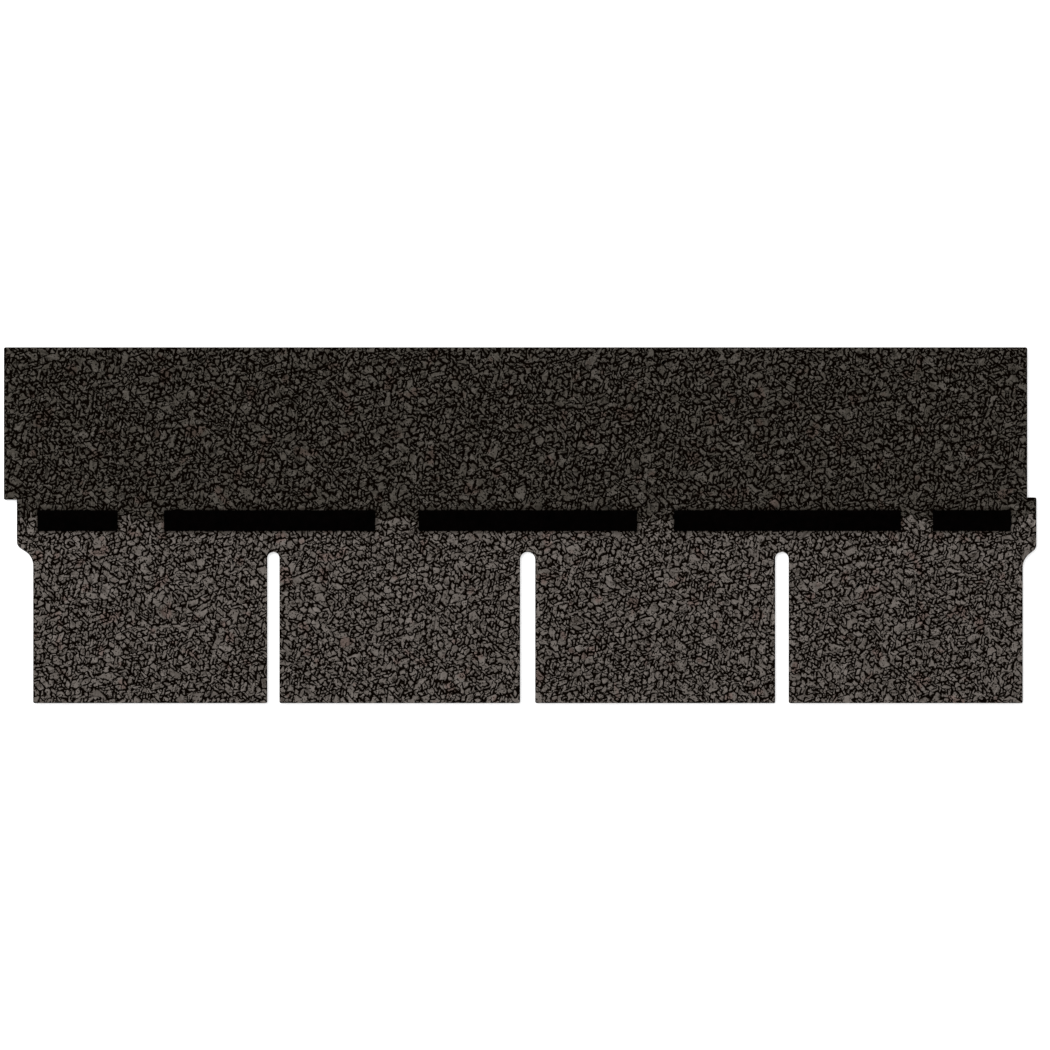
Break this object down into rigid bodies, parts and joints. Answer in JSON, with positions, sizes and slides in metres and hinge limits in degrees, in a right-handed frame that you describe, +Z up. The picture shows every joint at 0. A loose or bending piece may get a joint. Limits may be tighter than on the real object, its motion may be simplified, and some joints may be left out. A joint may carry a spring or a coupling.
{
  "type": "asphalt strip shingle",
  "caption": "Flat granule-faced asphalt strip shingle with square tabs parted by round-topped cut-outs, shouldered end notches and dashed self-seal sealant.",
  "frame": {"origin": "middle of the strip's bounding box, on the underside that lies on the deck", "axes": "+X along the strip, to the right in the picture; +Y from the tabs' butt edge up to the top edge; +Z up, out of the granule face"},
  "size_m": [1.0126, 0.349, 0.004],
  "materials": {
    "granule_surface": "matte",
    "sealant": "satin"
  },
  "bodies": {
    "root": {"shingle_sheet": "granule_surface", "sealant_strip_1": "sealant", "sealant_strip_2": "sealant", "sealant_strip_3": "sealant", "sealant_strip_4": "sealant", "sealant_strip_5": "sealant"}
  },
  "joints": []
}
